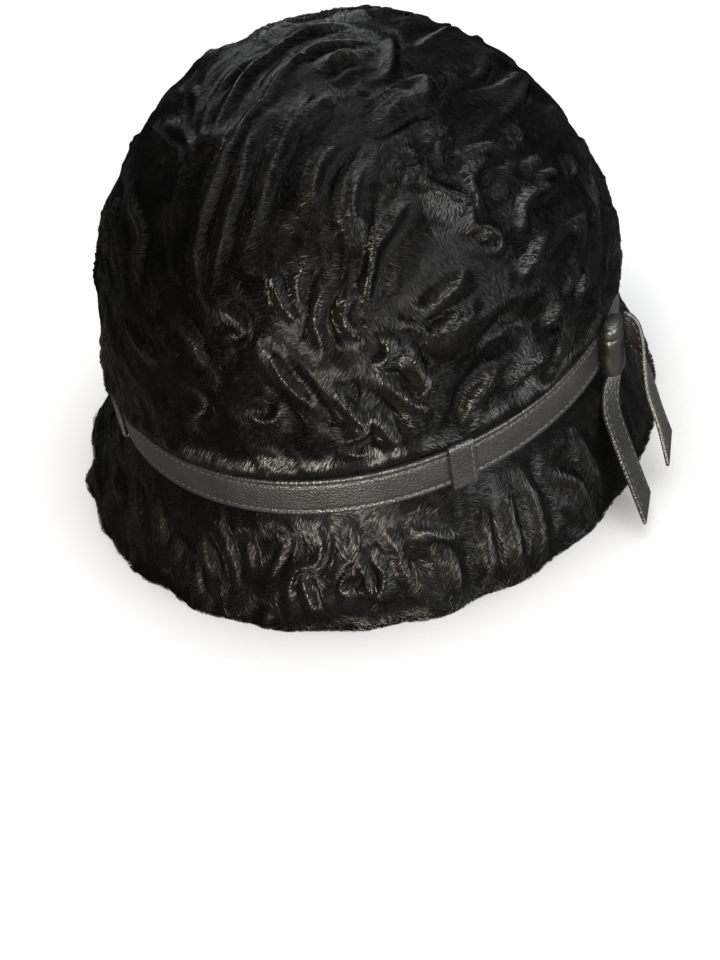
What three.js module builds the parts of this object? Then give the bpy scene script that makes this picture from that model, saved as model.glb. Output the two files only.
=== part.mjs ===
// Bucket hat of curly black lamb pelt, with a leather band that is tied at the wearer's left side.
// Millimetres, +Z up. The front faces -Y, the knot is at +X and the hem rests on z = 0.

import * as THREE from 'three';

// The band's outer oval, about 595 mm round
const HEAD_DEPTH = 101;
const HEAD_WIDTH = 88;

// Leather band, measured at the middle of the hat
const BAND_LOW = 37.2;
const BAND_TALL = 14.4;
const BAND_THICK = 2.2;
const BAND_BEVEL = 0.6;

// The band's plane rises towards the front and towards the knot, per millimetre
const FRONT_LIFT = 0.042;
const KNOT_LIFT = 0.038;

// Crown: its height over the band, its two roundness powers, and how far its top leans over
const CROWN_RISE = 96.6;
const RISE_POWER = 1.84;
const ROUND_POWER = 2.43;
const TOP_LEAN = { x: -4.6, y: -7.7 };
const BULGE_RISE = 6;

// Brim: the oval of its hem, and how far the hem is off the middle of the band
const HEM_DEPTH = 110.8;
const HEM_WIDTH = 102.8;
const HEM_SHIFT = { x: -3.9, y: -1.2 };
const FLARE_POWER = 0.92;
const RUFFLE_DEPTH = 1.1;

// Pelt wall, the gap that pieces keep, and the recess of the pelt behind the band
const PELT = 3;
const GAP = 0.3;
const RECESS = BAND_THICK + GAP;

// Curls of the pelt: wave trains over the hat, in waves per millimetre, that bend each other
// Over the band the curls set in between two heights, and below it within a share of the brim.
const CURL_HEIGHT = 0.9;
const CURL_LOW_RISE = 2;
const CURL_FULL_RISE = 12;
const CURL_FULL_FLARE = 0.3;
const CURL_BEND = 1.4;
const CURL_BEND_LENGTH = 55;
const CURL_WAVES = [
  { x: 0.034, y: 0.012, z: 0.010, start: 0.4 },
  { x: -0.016, y: 0.030, z: 0.014, start: 1.9 },
  { x: 0.012, y: -0.020, z: 0.030, start: 3.1 },
];

// Ruffles of the brim: ribs per turn
const RUFFLES = [
  { ribs: 17, start: 0.3, share: 0.45 },
  { ribs: 23, start: 2.1, share: 0.55 },
];

// Leather loops over the band, by their angle from the front
const KEEPER_WIDE = 9.2;
const KEEPER_THICK = 1.4;
const KEEPER_DROP = 1.2;
const KEEPER_REACH = 1.4;
const KEEPERS = [
  { name: 'keeper_right', angle: 37.5 },
  { name: 'keeper_left', angle: -53.5 },
];

// Knot: an upright wrap on the band. Its rings go from bottom to top, swell is a share of its size.
const KNOT_ANGLE = 81;
const KNOT_WIDE = 9.4;
const KNOT_DEEP = 6.8;
const KNOT_ROUND = 2.6;
const KNOT_SIDES = 16;
const KNOT_RINGS = [
  { height: -9.0, swell: 0.74 },
  { height: -8.0, swell: 0.92 },
  { height: -4.0, swell: 1.00 },
  { height: 2.0, swell: 0.98 },
  { height: 5.2, swell: 0.93 },
  { height: 6.2, swell: 0.84 },
  { height: 7.4, swell: 0.95 },
  { height: 9.6, swell: 0.90 },
  { height: 10.8, swell: 0.70 },
];

// Free ends of the strap. A row is a section: its front and its back edge, each outwards from the
// band, along the band towards the back, and in height over the hem.
const STRAP_THICK = 1.4;
const STRAP_STEPS = 20;
const TAILS = {
  tail_front: [
    { frontOut: 2.2, frontAlong: -4.1, frontUp: 38.6, backOut: 5.4, backAlong: -0.3, backUp: 36.6 },
    { frontOut: 1.8, frontAlong: -8.2, frontUp: 35.5, backOut: 5.1, backAlong: -2.2, backUp: 31.6 },
    { frontOut: 3.5, frontAlong: -13.9, frontUp: 31.0, backOut: 5.9, backAlong: -4.8, backUp: 25.8 },
    { frontOut: 7.4, frontAlong: -19.2, frontUp: 25.6, backOut: 9.6, backAlong: -8.7, backUp: 18.6 },
    { frontOut: 13.0, frontAlong: -25.4, frontUp: 18.0, backOut: 15.4, backAlong: -15.2, backUp: 10.6 },
    { frontOut: 23.4, frontAlong: -37.0, frontUp: 5.8, backOut: 20.1, backAlong: -20.5, backUp: 4.8 },
  ],
  tail_back: [
    { frontOut: 1.2, frontAlong: 6.0, frontUp: 55.0, backOut: 1.0, backAlong: 6.4, backUp: 45.5 },
    { frontOut: 6.0, frontAlong: 7.4, frontUp: 57.0, backOut: 2.2, backAlong: 8.0, backUp: 44.6 },
    { frontOut: 10.0, frontAlong: 7.0, frontUp: 54.0, backOut: 3.6, backAlong: 9.0, backUp: 43.6 },
    { frontOut: 12.2, frontAlong: 5.0, frontUp: 48.0, backOut: 5.4, backAlong: 10.2, backUp: 41.6 },
    { frontOut: 13.2, frontAlong: 2.0, frontUp: 40.5, backOut: 9.0, backAlong: 11.6, backUp: 37.0 },
    { frontOut: 15.2, frontAlong: -2.4, frontUp: 31.5, backOut: 13.0, backAlong: 9.4, backUp: 29.4 },
    { frontOut: 20.0, frontAlong: -6.8, frontUp: 21.0, backOut: 17.4, backAlong: 5.4, backUp: 20.0 },
    { frontOut: 24.0, frontAlong: -11.4, frontUp: 9.2, backOut: 21.2, backAlong: 2.2, backUp: 13.4 },
  ],
};

// Fineness of the meshes
const TURN_STEPS = 96;
const CROWN_STEPS = 22;
const LINING_STEPS = 8;
const BRIM_STEPS = 8;
const BRIM_INSIDE_STEPS = 3;
const KEEPER_STEPS = 4;

const FULL_TURN = 2 * Math.PI;
const PELT_LOOK = { color: 0x17161a, roughness: 0.55, metalness: 0 };
const LEATHER_LOOK = { color: 0x2b2b2f, roughness: 0.42, metalness: 0 };

function planeLift(x, y) {
  return KNOT_LIFT * x - FRONT_LIFT * y;
}

function smoothStep(low, high, value) {
  return THREE.MathUtils.smoothstep(value, low, high);
}

// A point of the band's oval, moved outwards by out, at a height over the band's leaning plane.
function headPoint(angle, out, height) {
  const x = (HEAD_WIDTH + out) * Math.sin(angle);
  const y = -(HEAD_DEPTH + out) * Math.cos(angle);
  return new THREE.Vector3(x, y, height + planeLift(x, y));
}

// Height of the curls at a point, from -1 to 1.
function curl(point) {
  const bend = CURL_BEND * Math.sin(FULL_TURN * (point.y + point.z - point.x / 2) / CURL_BEND_LENGTH);
  let sum = 0;
  for (const wave of CURL_WAVES) {
    const phase = wave.x * point.x + wave.y * point.y + wave.z * point.z;
    sum += Math.sin(FULL_TURN * phase + wave.start + bend);
  }
  return sum / CURL_WAVES.length;
}

// A closed body swept round the hat. loop(angle) gives the section's points in order; a section that
// starts and ends on the crown's middle line has poles, any other section closes on itself.
function sweepRound(loop, hasPoles) {
  const positions = [];
  const indices = [];
  const pointCount = loop(0).length;
  for (let turn = 0; turn < TURN_STEPS; turn += 1) {
    for (const point of loop(FULL_TURN * turn / TURN_STEPS)) {
      positions.push(point.x, point.y, point.z);
    }
  }
  const bandCount = hasPoles ? pointCount - 1 : pointCount;
  for (let turn = 0; turn < TURN_STEPS; turn += 1) {
    const here = turn * pointCount;
    const next = ((turn + 1) % TURN_STEPS) * pointCount;
    for (let band = 0; band < bandCount; band += 1) {
      const after = (band + 1) % pointCount;
      const startsAtPole = hasPoles && band === 0;
      const endsAtPole = hasPoles && band === bandCount - 1;
      const last = endsAtPole ? pointCount - 1 : here + after;
      if (!startsAtPole) {
        indices.push(here + band, last, next + band);
      }
      if (!endsAtPole) {
        indices.push(startsAtPole ? 0 : next + band, last, next + after);
      }
    }
  }
  return indexedGeometry(positions, indices);
}

// A closed body lofted through rings of points, with a flat fan at each end.
function loftRings(rings) {
  const positions = [];
  const indices = [];
  const sides = rings[0].length;
  for (const ring of rings) {
    for (const point of ring) {
      positions.push(point.x, point.y, point.z);
    }
  }
  for (let ring = 0; ring < rings.length - 1; ring += 1) {
    for (let side = 0; side < sides; side += 1) {
      const low = ring * sides + side;
      const lowNext = ring * sides + (side + 1) % sides;
      indices.push(low, lowNext, low + sides);
      indices.push(lowNext, lowNext + sides, low + sides);
    }
  }
  const top = (rings.length - 1) * sides;
  for (let side = 1; side < sides - 1; side += 1) {
    indices.push(0, side + 1, side);
    indices.push(top, top + side, top + side + 1);
  }
  return indexedGeometry(positions, indices);
}

// Only the points that a face uses are kept, and the faces are turned to point outwards.
function indexedGeometry(positions, indices) {
  const newIndex = new Map();
  const kept = [];
  const faces = indices.map((index) => {
    if (!newIndex.has(index)) {
      newIndex.set(index, kept.length / 3);
      kept.push(...positions.slice(3 * index, 3 * index + 3));
    }
    return newIndex.get(index);
  });
  if (signedVolume(kept, faces) < 0) {
    faces.reverse();
  }
  const geometry = new THREE.BufferGeometry();
  geometry.setAttribute('position', new THREE.Float32BufferAttribute(kept, 3));
  geometry.setIndex(faces);
  geometry.computeVertexNormals();
  return geometry;
}

function signedVolume(positions, faces) {
  const corner = (index) => new THREE.Vector3().fromArray(positions, 3 * index);
  let volume = 0;
  for (let face = 0; face < faces.length; face += 3) {
    const across = corner(faces[face + 1]).cross(corner(faces[face + 2]));
    volume += corner(faces[face]).dot(across) / 6;
  }
  return volume;
}

function makeMesh(name, geometry, look) {
  const mesh = new THREE.Mesh(geometry, new THREE.MeshStandardMaterial(look));
  mesh.name = name;
  return mesh;
}

// A point of the dome: sweep goes from 0 at the band's upper edge to a quarter turn at the top.
function domePoint(angle, sweep, inset) {
  const rise = Math.sin(sweep) ** (2 / RISE_POWER);
  const radius = Math.max(Math.cos(sweep), 0) ** (2 / ROUND_POWER);
  const overBand = CROWN_RISE * rise;
  const recess = RECESS * (1 - smoothStep(0, BULGE_RISE, overBand));
  const x = (HEAD_WIDTH - recess - inset) * radius * Math.sin(angle) + TOP_LEAN.x * rise ** 2;
  const y = -(HEAD_DEPTH - recess - inset) * radius * Math.cos(angle) + TOP_LEAN.y * rise ** 2;
  const z = BAND_LOW + BAND_TALL + (CROWN_RISE - inset) * rise + planeLift(x, y);
  return new THREE.Vector3(x, y, z);
}

// The pelt's outer face: the dome raised by the curls, which fade out at the band.
function crownSkin(angle, sweep) {
  const point = domePoint(angle, sweep, 0);
  const overBand = CROWN_RISE * Math.sin(sweep) ** (2 / RISE_POWER);
  const raise = CURL_HEIGHT * curl(point) * smoothStep(CURL_LOW_RISE, CURL_FULL_RISE, overBand);
  return domePoint(angle, sweep, -raise);
}

function crownLoop(angle) {
  const seam = BAND_LOW + BAND_TALL / 2 + GAP / 2;
  const points = [];
  for (let step = CROWN_STEPS; step >= 0; step -= 1) {
    points.push(crownSkin(angle, Math.PI / 2 * step / CROWN_STEPS));
  }
  points.push(headPoint(angle, -RECESS, seam));
  points.push(headPoint(angle, -RECESS - PELT, seam));
  for (let step = 0; step <= LINING_STEPS; step += 1) {
    points.push(domePoint(angle, Math.PI / 2 * step / LINING_STEPS, PELT));
  }
  return points;
}

// A point of the brim: flare goes from 0 at the band's lower edge to 1 at the hem.
function brimPoint(angle, flare, inset) {
  const edge = headPoint(angle, -RECESS - inset, BAND_LOW);
  const hemX = HEM_SHIFT.x + (HEM_WIDTH - inset) * Math.sin(angle);
  const hemY = HEM_SHIFT.y - (HEM_DEPTH - inset) * Math.cos(angle);
  const spread = flare ** FLARE_POWER;
  return new THREE.Vector3(
    THREE.MathUtils.lerp(edge.x, hemX, spread),
    THREE.MathUtils.lerp(edge.y, hemY, spread),
    edge.z * (1 - flare),
  );
}

// The brim's outer face: ruffles deepen towards the hem, and the curls fade out at the band.
function brimSkin(angle, flare) {
  const fade = smoothStep(0, CURL_FULL_FLARE, flare);
  let raise = CURL_HEIGHT * curl(brimPoint(angle, flare, 0));
  for (const ruffle of RUFFLES) {
    raise += RUFFLE_DEPTH * ruffle.share * flare * Math.sin(ruffle.ribs * angle + ruffle.start);
  }
  return brimPoint(angle, flare, -raise * fade);
}

function brimLoop(angle) {
  const seam = BAND_LOW + BAND_TALL / 2 - GAP / 2;
  const points = [headPoint(angle, -RECESS, seam)];
  for (let step = 0; step <= BRIM_STEPS; step += 1) {
    points.push(brimSkin(angle, step / BRIM_STEPS));
  }
  for (let step = BRIM_INSIDE_STEPS; step >= 0; step -= 1) {
    points.push(brimPoint(angle, step / BRIM_INSIDE_STEPS, PELT));
  }
  points.push(headPoint(angle, -RECESS - PELT, seam));
  return points;
}

function bandLoop(angle) {
  const top = BAND_LOW + BAND_TALL;
  return [
    headPoint(angle, -BAND_THICK, BAND_LOW),
    headPoint(angle, -BAND_BEVEL, BAND_LOW),
    headPoint(angle, 0, BAND_LOW + BAND_BEVEL),
    headPoint(angle, 0, top - BAND_BEVEL),
    headPoint(angle, -BAND_BEVEL, top),
    headPoint(angle, -BAND_THICK, top),
  ];
}

// A loop of leather round the band: its upper and lower ends turn in towards the pelt.
function makeKeeper({ name, angle }) {
  const middle = THREE.MathUtils.degToRad(angle);
  const halfTurn = KEEPER_WIDE / 2 / headPoint(middle, 0, 0).setZ(0).length();
  const inside = GAP;
  const outside = GAP + KEEPER_THICK;
  const low = BAND_LOW - GAP;
  const top = BAND_LOW + BAND_TALL + GAP;
  const section = [
    { out: -KEEPER_REACH, height: low },
    { out: inside, height: low },
    { out: inside, height: top },
    { out: -KEEPER_REACH, height: top },
    { out: -KEEPER_REACH, height: top + KEEPER_DROP },
    { out: outside - BAND_BEVEL, height: top + KEEPER_DROP },
    { out: outside, height: top },
    { out: outside, height: low },
    { out: outside - BAND_BEVEL, height: low - KEEPER_DROP },
    { out: -KEEPER_REACH, height: low - KEEPER_DROP },
  ];
  const shape = new THREE.Shape(section.map(({ out, height }) => new THREE.Vector2(out, height)));
  const options = { steps: KEEPER_STEPS, depth: 1, bevelEnabled: false };
  const geometry = new THREE.ExtrudeGeometry(shape, options);
  const place = geometry.getAttribute('position');
  for (let index = 0; index < place.count; index += 1) {
    const turn = middle + (0.5 - place.getZ(index)) * 2 * halfTurn;
    const point = headPoint(turn, place.getX(index), place.getY(index));
    place.setXYZ(index, point.x, point.y, point.z);
  }
  geometry.computeVertexNormals();
  return makeMesh(name, geometry, LEATHER_LOOK);
}

// Directions at the knot: out from the band, along it towards the back, and the middle of its face.
const knotTurn = THREE.MathUtils.degToRad(KNOT_ANGLE);
const knotPlace = headPoint(knotTurn, 0, BAND_LOW + BAND_TALL / 2);
const knotOut = new THREE.Vector3(Math.sin(knotTurn) / HEAD_WIDTH, -Math.cos(knotTurn) / HEAD_DEPTH, 0);
knotOut.normalize();
const knotAlong = new THREE.Vector3(-knotOut.y, knotOut.x, 0);

function besideKnot(out, along, height) {
  const point = knotPlace.clone();
  point.addScaledVector(knotOut, out);
  point.addScaledVector(knotAlong, along);
  point.z = height;
  return point;
}

function makeKnot() {
  const rings = KNOT_RINGS.map(({ height, swell }) => {
    const ring = [];
    for (let side = 0; side < KNOT_SIDES; side += 1) {
      const turn = FULL_TURN * side / KNOT_SIDES;
      const across = Math.sign(Math.cos(turn)) * Math.abs(Math.cos(turn)) ** (2 / KNOT_ROUND);
      const outwards = Math.sign(Math.sin(turn)) * Math.abs(Math.sin(turn)) ** (2 / KNOT_ROUND);
      const out = GAP + KNOT_DEEP / 2 * (1 + swell * outwards);
      ring.push(besideKnot(out, -KNOT_WIDE / 2 * swell * across, knotPlace.z + height));
    }
    return ring;
  });
  return makeMesh('knot', loftRings(rings), LEATHER_LOOK);
}

// A strip of leather between the curves of its front and back edges.
function makeTail(name, rows) {
  const frontPoints = rows.map((row) => besideKnot(row.frontOut, row.frontAlong, row.frontUp));
  const backPoints = rows.map((row) => besideKnot(row.backOut, row.backAlong, row.backUp));
  const frontEdge = new THREE.CatmullRomCurve3(frontPoints);
  const backEdge = new THREE.CatmullRomCurve3(backPoints);
  const sections = [];
  for (let step = 0; step <= STRAP_STEPS; step += 1) {
    const share = step / STRAP_STEPS;
    const front = frontEdge.getPoint(share);
    const back = backEdge.getPoint(share);
    const ahead = frontEdge.getTangent(share).add(backEdge.getTangent(share));
    const face = ahead.cross(front.clone().sub(back)).normalize().multiplyScalar(STRAP_THICK / 2);
    sections.push([
      front.clone().add(face),
      back.clone().add(face),
      back.clone().sub(face),
      front.clone().sub(face),
    ]);
  }
  return makeMesh(name, loftRings(sections), LEATHER_LOOK);
}

const hat = new THREE.Group();
hat.add(makeMesh('crown', sweepRound(crownLoop, true), PELT_LOOK));
hat.add(makeMesh('brim', sweepRound(brimLoop, false), PELT_LOOK));
hat.add(makeMesh('band', sweepRound(bandLoop, false), LEATHER_LOOK));
for (const keeper of KEEPERS) {
  hat.add(makeKeeper(keeper));
}
hat.add(makeKnot());
for (const [name, rows] of Object.entries(TAILS)) {
  hat.add(makeTail(name, rows));
}

// The origin is under the middle of the whole hat, at the surface that it rests on.
const middle = new THREE.Box3().setFromObject(hat).getCenter(new THREE.Vector3());
hat.position.set(-middle.x, -middle.y, 0);
hat.updateMatrixWorld(true);

export default hat;
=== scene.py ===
import math

import bpy
import numpy as np
from mathutils import Matrix, Vector
from mathutils.kdtree import KDTree


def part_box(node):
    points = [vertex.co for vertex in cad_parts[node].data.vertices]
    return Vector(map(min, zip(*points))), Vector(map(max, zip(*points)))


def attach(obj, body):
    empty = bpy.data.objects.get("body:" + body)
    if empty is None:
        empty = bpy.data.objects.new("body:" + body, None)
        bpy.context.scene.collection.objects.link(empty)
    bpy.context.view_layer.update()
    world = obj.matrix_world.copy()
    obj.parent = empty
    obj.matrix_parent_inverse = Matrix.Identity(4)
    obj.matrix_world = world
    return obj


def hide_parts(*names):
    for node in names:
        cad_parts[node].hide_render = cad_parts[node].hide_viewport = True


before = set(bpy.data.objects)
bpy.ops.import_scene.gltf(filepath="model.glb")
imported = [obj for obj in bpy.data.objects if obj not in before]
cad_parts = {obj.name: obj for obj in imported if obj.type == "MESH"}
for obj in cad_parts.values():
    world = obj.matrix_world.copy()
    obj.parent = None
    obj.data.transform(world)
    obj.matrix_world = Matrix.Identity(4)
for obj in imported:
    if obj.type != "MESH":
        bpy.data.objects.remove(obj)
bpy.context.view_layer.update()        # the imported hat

# The hat is worked out in millimetres and written to meshes in metres.
MM = 0.001

# Sizes of the solids. The band's box gives the head's oval and the middle of the hat.
BAND_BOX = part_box("band")
MIDDLE = np.array((BAND_BOX[0] + BAND_BOX[1]) / 2) / MM
HEAD_WIDTH, HEAD_DEPTH = (np.array(BAND_BOX[1] - BAND_BOX[0]) / MM / 2)[:2]
BAND_LOW = 37.2
BAND_TALL = 14.4
BAND_THICK = 2.2
FRONT_LIFT = 0.042
KNOT_LIFT = 0.038
CROWN_RISE = 96.6
RISE_POWER = 1.84
ROUND_POWER = 2.43
TOP_LEAN = (-4.6, -7.7)
BULGE_RISE = 6.0
HEM_DEPTH = 110.8
HEM_WIDTH = 102.8
HEM_SHIFT = (-3.9, -1.2)
FLARE_POWER = 0.92
PELT_THICK = 3.0
RECESS = BAND_THICK + 0.3
RUFFLE_DEPTH = 1.1
# Ruffles of the hem: ribs round it, start and share
RUFFLES = ((17, 0.3, 0.45), (23, 2.1, 0.55))
CURL_HEIGHT = 0.9
CURL_RISE = (2, 12)
CURL_FLARE = 0.3
CURL_BEND = 1.4
CURL_BEND_LENGTH = 55
# Waves of the broad curls: cycles for each millimetre in x, y and z, and start
CURL_WAVES = ((0.034, 0.012, 0.010, 0.4), (-0.016, 0.030, 0.014, 1.9), (0.012, -0.020, 0.030, 3.1))
KNOT_ANGLE = math.radians(81)

SEED = 20
TINY = 1e-9

rng = np.random.default_rng(SEED)


def smooth_step(low, high, value):
    share = np.clip((value - low) / (high - low), 0, 1)
    return share * share * (3 - 2 * share)


def unit(vectors):
    length = np.linalg.norm(vectors, axis=-1, keepdims=True)
    return vectors / np.maximum(length, TINY)


# Surfaces of the hat, in millimetres from the middle of the band's oval

def plane_lift(x, y):
    return KNOT_LIFT * x - FRONT_LIFT * y


def head_point(angle, out, height):
    """A point of the band's oval, moved outwards, at a height over the band's leaning plane."""
    x = (HEAD_WIDTH + out) * np.sin(angle)
    y = -(HEAD_DEPTH + out) * np.cos(angle)
    return np.stack(np.broadcast_arrays(x, y, height + plane_lift(x, y)), -1)


def dome_point(angle, sweep, inset):
    """A point of the crown: sweep is 0 at the band's upper edge and a quarter turn at the top."""
    rise = np.sign(sweep) * np.abs(np.sin(sweep)) ** (2 / RISE_POWER)
    radius = np.maximum(np.cos(sweep), 0) ** (2 / ROUND_POWER)
    recess = RECESS * (1 - smooth_step(0, BULGE_RISE, CROWN_RISE * rise))
    x = (HEAD_WIDTH - recess - inset) * radius * np.sin(angle) + TOP_LEAN[0] * rise ** 2
    y = -(HEAD_DEPTH - recess - inset) * radius * np.cos(angle) + TOP_LEAN[1] * rise ** 2
    z = BAND_LOW + BAND_TALL + (CROWN_RISE - inset) * rise + plane_lift(x, y)
    return np.stack((x, y, z), -1)


def brim_point(angle, flare, inset):
    """A point of the brim: flare is 0 at the band's lower edge and 1 at the hem."""
    inset = np.asarray(inset)
    edge = head_point(angle, -RECESS - inset, BAND_LOW)
    hem_x = HEM_SHIFT[0] + (HEM_WIDTH - inset) * np.sin(angle)
    hem_y = HEM_SHIFT[1] - (HEM_DEPTH - inset) * np.cos(angle)
    spread = np.sign(flare) * np.abs(flare) ** FLARE_POWER
    x = edge[..., 0] + (hem_x - edge[..., 0]) * spread
    y = edge[..., 1] + (hem_y - edge[..., 1]) * spread
    return np.stack(np.broadcast_arrays(x, y, edge[..., 2] * (1 - flare)), -1)


def broad_curl(points):
    """Height of the broad curls at points, from -1 to 1."""
    x, y, z = np.moveaxis(points, -1, 0)
    bend = CURL_BEND * np.sin(2 * math.pi * (y + z - x / 2) / CURL_BEND_LENGTH)
    waves = [
        np.sin(2 * math.pi * (in_x * x + in_y * y + in_z * z) + start + bend)
        for in_x, in_y, in_z, start in CURL_WAVES
    ]
    return np.mean(waves, axis=0)


def over_band(sweep):
    """Height of a point of the crown over the band's upper edge."""
    return CROWN_RISE * np.sin(np.maximum(sweep, 0)) ** (2 / RISE_POWER)


def crown_skin(angle, sweep):
    """The crown's outer face with its broad curls."""
    rise = smooth_step(*CURL_RISE, over_band(sweep))
    raised = CURL_HEIGHT * broad_curl(dome_point(angle, sweep, 0)) * rise
    return dome_point(angle, sweep, -raised)


def brim_skin(angle, flare):
    """The brim's outer face with its broad curls and ruffles."""
    ruffle = sum(share * np.sin(ribs * angle + start) for ribs, start, share in RUFFLES)
    raised = CURL_HEIGHT * broad_curl(brim_point(angle, flare, 0)) + RUFFLE_DEPTH * ruffle * flare
    return brim_point(angle, flare, -raised * smooth_step(0, CURL_FLARE, flare))


# Camera: fitted to the outlines of crown, band and hem in the photograph's frame

PHOTO_WIDE = 720
PHOTO_TALL = 960
CAMERA_PLACE = np.array((179.7, -478.5, 420.9))
CAMERA_TURN = math.radians(21.987)
CAMERA_RAISE = math.radians(41.615)
CAMERA_ROLL = math.radians(10.554)
CAMERA_LENS = 67.5
SENSOR = 36.0
NEAR_CLIP = 0.01
FOCAL_PIXELS = CAMERA_LENS / SENSOR * PHOTO_TALL
# A cast point that lies further than this from the surface's nearest point is put at that point.
CAST_REACH = 2.5


def camera_axes():
    """The camera's right, up and ahead directions."""
    cos_turn, sin_turn = math.cos(CAMERA_TURN), math.sin(CAMERA_TURN)
    cos_raise, sin_raise = math.cos(CAMERA_RAISE), math.sin(CAMERA_RAISE)
    right = np.array((cos_turn, sin_turn, 0))
    up = np.array((-sin_turn * sin_raise, cos_turn * sin_raise, cos_raise))
    ahead = np.array((-sin_turn * cos_raise, cos_turn * cos_raise, -sin_raise))
    cos_roll, sin_roll = math.cos(CAMERA_ROLL), math.sin(CAMERA_ROLL)
    return cos_roll * right - sin_roll * up, sin_roll * right + cos_roll * up, ahead


RIGHT, UP, AHEAD = camera_axes()


def to_pixels(points):
    """Pixels at which the camera sees points."""
    seen = points - CAMERA_PLACE
    depth = seen @ AHEAD
    across = PHOTO_WIDE / 2 + FOCAL_PIXELS * (seen @ RIGHT) / depth
    down = PHOTO_TALL / 2 - FOCAL_PIXELS * (seen @ UP) / depth
    return np.stack((across, down), -1)


def under_pixels(pixels, points, normals):
    """Points of a surface, given by many points, that lie under these pixels, and their normals."""
    facing = ((points - CAMERA_PLACE) * normals).sum(1) < 0
    points = points[facing]
    normals = normals[facing]
    gap = ((pixels[:, None] - to_pixels(points)[None]) ** 2).sum(2)
    nearest = gap.argmin(1)
    aside = (pixels - (PHOTO_WIDE / 2, PHOTO_TALL / 2)) / FOCAL_PIXELS
    way = unit(AHEAD + aside[:, :1] * RIGHT - aside[:, 1:] * UP)
    place = points[nearest]
    normal = normals[nearest]
    reach = ((place - CAMERA_PLACE) * normal).sum(1) / (way * normal).sum(1)
    exact = CAMERA_PLACE + way * reach[:, None]
    close = np.linalg.norm(exact - place, axis=1, keepdims=True) < CAST_REACH
    return np.where(close, exact, place), normal


# Curls of the pelt: ridges whose lines are traced over the photograph, in its pixels, from above
# downwards or to the right

CROWN_RIDGES = (
    ((300, 62), (268, 98), (242, 129), (217, 182), (202, 230), (197, 280), (205, 312)),
    ((262, 118), (251, 141), (238, 191), (229, 216), (217, 267), (211, 290)),
    ((318, 88), (297, 118), (279, 154), (265, 196), (258, 221), (252, 262)),
    ((341, 141), (322, 164), (313, 187), (310, 207), (314, 216)),
    ((373, 154), (359, 177), (352, 198), (352, 216), (359, 230), (360, 251), (355, 272)),
    ((412, 191), (393, 221), (375, 249), (370, 272), (364, 297), (350, 315)),
    ((272, 269), (279, 292), (290, 313), (299, 322)),
    ((315, 249), (302, 272), (299, 295), (302, 311)),
    ((334, 285), (320, 301), (316, 320), (320, 340), (327, 363)),
    ((345, 285), (350, 299), (345, 315), (354, 334), (366, 340)),
    ((366, 366), (380, 363), (389, 352), (382, 338), (366, 338)),
    ((366, 366), (382, 377), (398, 391), (412, 402), (428, 405), (432, 389)),
    ((267, 347), (279, 368), (292, 386), (306, 402), (314, 415)),
    ((242, 412), (251, 416), (263, 421), (276, 416), (281, 398)),
    ((187, 384), (203, 402), (194, 416), (194, 430), (205, 446)),
    ((331, 379), (341, 395), (352, 412), (364, 425), (350, 437), (334, 448)),
    ((370, 405), (384, 425), (398, 451)),
    ((331, 444), (347, 450), (373, 457)),
    ((409, 317), (432, 304), (455, 285), (471, 269)),
    ((421, 331), (435, 331), (453, 317), (467, 311)),
    ((393, 168), (403, 175), (421, 170), (416, 157), (400, 148)),
    ((430, 161), (435, 143), (419, 145)),
    ((412, 187), (435, 193), (453, 207), (471, 205)),
    ((409, 334), (414, 361), (423, 384), (428, 405)),
    ((226, 292), (217, 304), (240, 320), (242, 331), (226, 336), (217, 350)),
    ((142, 166), (134, 200), (145, 237), (140, 266), (153, 300)),
    ((122, 316), (142, 345), (163, 375)),
    ((180, 316), (197, 345), (205, 375)),
    ((176, 175), (192, 166), (188, 137), (163, 125)),
    ((217, 96), (205, 125), (201, 154)),
    ((263, 54), (234, 75), (213, 100)),
    ((380, 37), (346, 29), (313, 33), (280, 50), (246, 79), (221, 117), (205, 154)),
    ((371, 46), (338, 46), (305, 58), (276, 87), (251, 121)),
    ((367, 56), (338, 60), (313, 79)),
    ((388, 33), (392, 50), (388, 75), (371, 83)),
    ((346, 104), (330, 100), (309, 112), (296, 125)),
    ((405, 87), (425, 81), (423, 98), (400, 106), (380, 121), (350, 137)),
    ((409, 54), (442, 37), (467, 37)),
    ((480, 46), (484, 67), (467, 92)),
    ((450, 112), (467, 96), (496, 92), (517, 79), (521, 96), (496, 121), (467, 137)),
    ((413, 146), (421, 175), (438, 191), (467, 204), (471, 225), (496, 237), (496, 250), (475, 246)),
    ((451, 156), (467, 154), (491, 148), (499, 146)),
    ((493, 158), (479, 166), (469, 178), (472, 190), (477, 210), (475, 220)),
    ((499, 123), (514, 135), (522, 146)),
    ((526, 123), (542, 115), (556, 108)),
    ((560, 150), (566, 162), (574, 178)),
    ((499, 176), (508, 168), (516, 162)),
    ((518, 170), (530, 164), (540, 157)),
    ((532, 184), (546, 176), (556, 171)),
    ((554, 184), (530, 194), (520, 208), (522, 227), (516, 240)),
    ((546, 227), (538, 243), (530, 260), (516, 278)),
    ((578, 268), (570, 283), (562, 302)),
    ((588, 274), (581, 286), (573, 303)),
    ((562, 296), (552, 312), (540, 326)),
    ((473, 240), (485, 233), (495, 243)),
    ((598, 196), (606, 216), (611, 238), (613, 262)),
    ((384, 316), (410, 326), (434, 333), (463, 320), (475, 304)),
    ((458, 434), (466, 412), (480, 387), (505, 361)),
    ((550, 350), (525, 366), (500, 391)),
    ((579, 333), (559, 354), (546, 375)),
)
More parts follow.
